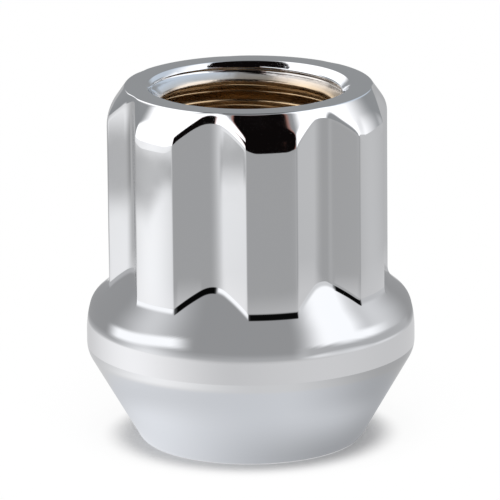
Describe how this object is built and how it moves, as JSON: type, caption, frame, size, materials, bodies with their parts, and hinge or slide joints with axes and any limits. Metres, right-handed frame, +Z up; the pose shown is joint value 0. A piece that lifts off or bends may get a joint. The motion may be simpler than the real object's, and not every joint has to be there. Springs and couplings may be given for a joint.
{
  "type": "lug nut",
  "caption": "Chromed lug nut with a fluted barrel, a round flange, a conical seat and a threaded bore that is open at both ends.",
  "frame": {"origin": "centre of the seat's small end, on the bore's axis, where the nut stands", "axes": "+Z up along the bore, from the seat to the open wrench end; one lobe of the barrel faces -Y"},
  "size_m": [0.0236, 0.0236, 0.026],
  "materials": {
    "chrome": "polished chrome plating"
  },
  "bodies": {
    "root": {"lug_nut": "chrome"}
  },
  "joints": []
}
